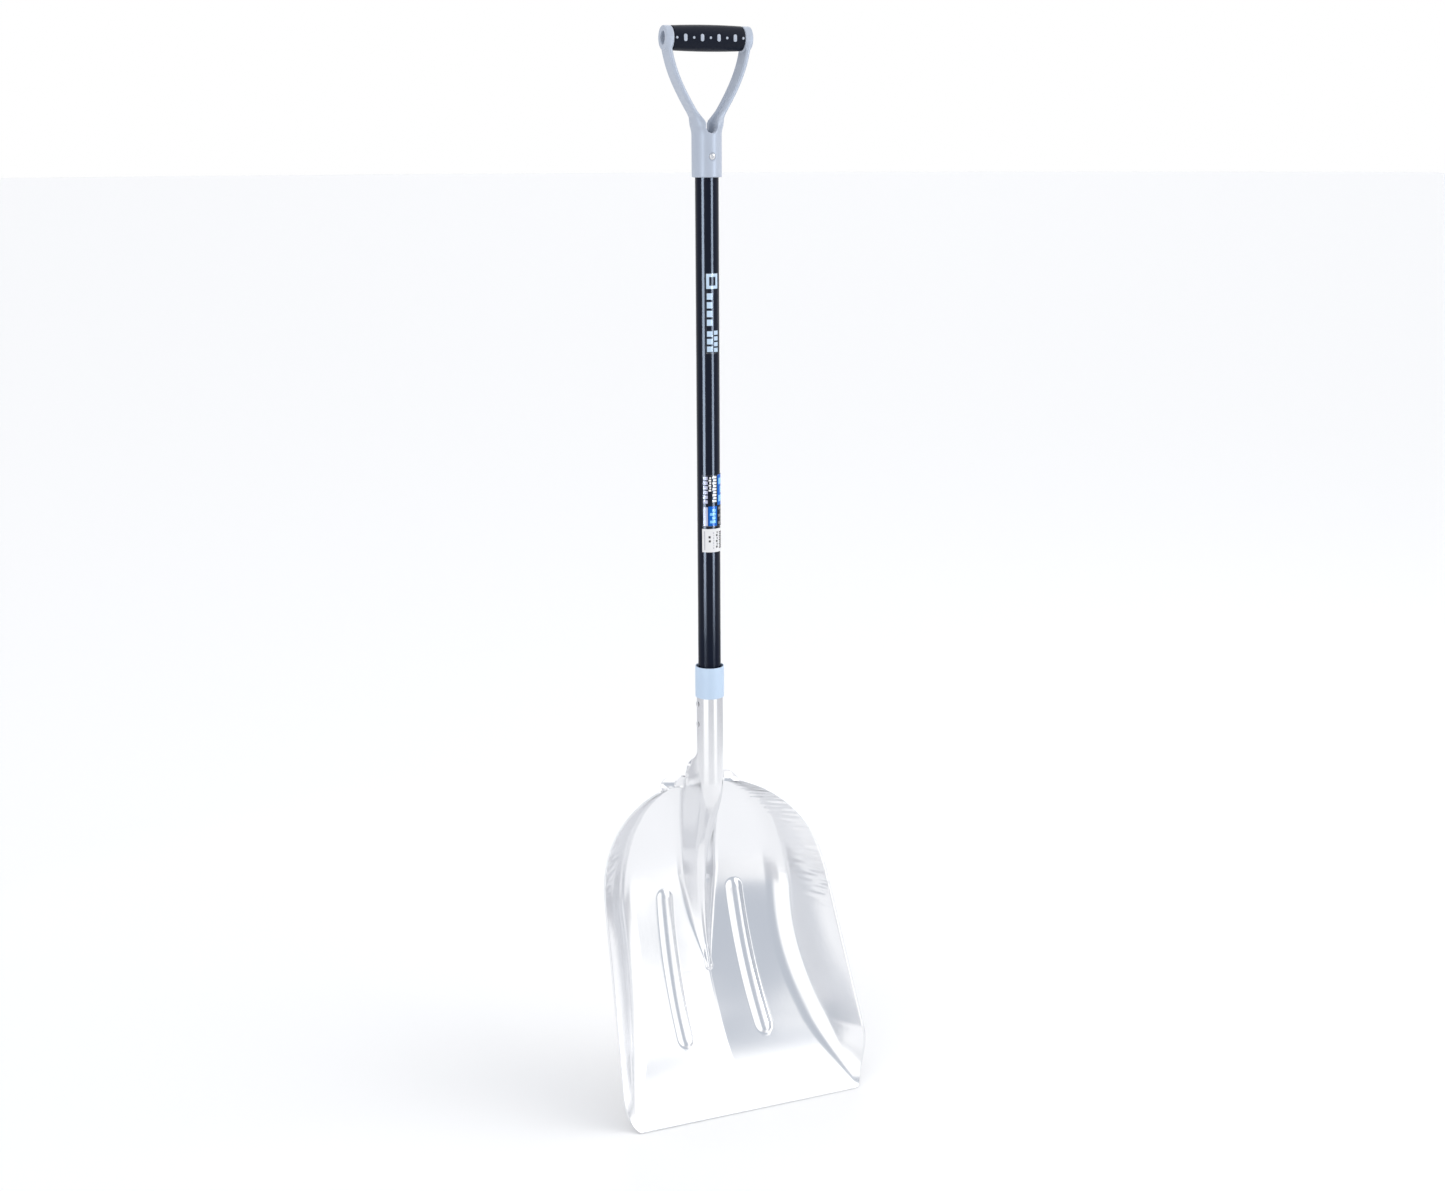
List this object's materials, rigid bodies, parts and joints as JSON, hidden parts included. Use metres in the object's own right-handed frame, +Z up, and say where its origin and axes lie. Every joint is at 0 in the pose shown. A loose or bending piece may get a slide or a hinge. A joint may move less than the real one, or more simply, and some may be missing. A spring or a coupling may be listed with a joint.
{
  "type": "snow shovel",
  "caption": "Upright aluminium scoop shovel with a rolled neck, straight painted tube shaft and a plastic D-handle with a soft grip.",
  "frame": {"origin": "under the middle of the hand grip, where the shovel hangs on a hook or peg", "axes": "+Z up the shaft towards the grip, +X across the blade along the grip, -Y out of the scoop's open side"},
  "size_m": [0.3564, 0.1929, 1.4038],
  "materials": {
    "blade_aluminium": "bright rolled and pressed sheet, lightly brushed",
    "shaft_paint": "gloss black powder coat",
    "handle_plastic": "moulded, fine satin texture",
    "collar_plastic": "moulded, satin",
    "grip_rubber": "soft matt overmould",
    "screw_plating": "zinc plated",
    "rivet_metal": "plain aluminium",
    "film_print": "printed film, plain blocks of colour",
    "sticker_paper": "coated paper"
  },
  "bodies": {
    "root": {"scoop_blade": "blade_aluminium", "shaft_tube": "shaft_paint", "neck_collar": "collar_plastic", "handle_yoke": "handle_plastic", "grip_sleeve": "grip_rubber", "film_label": "film_print", "price_sticker": "sticker_paper", "neck_rivet_upper": "rivet_metal", "neck_rivet_lower": "rivet_metal", "yoke_screw": "screw_plating"}
  },
  "joints": []
}
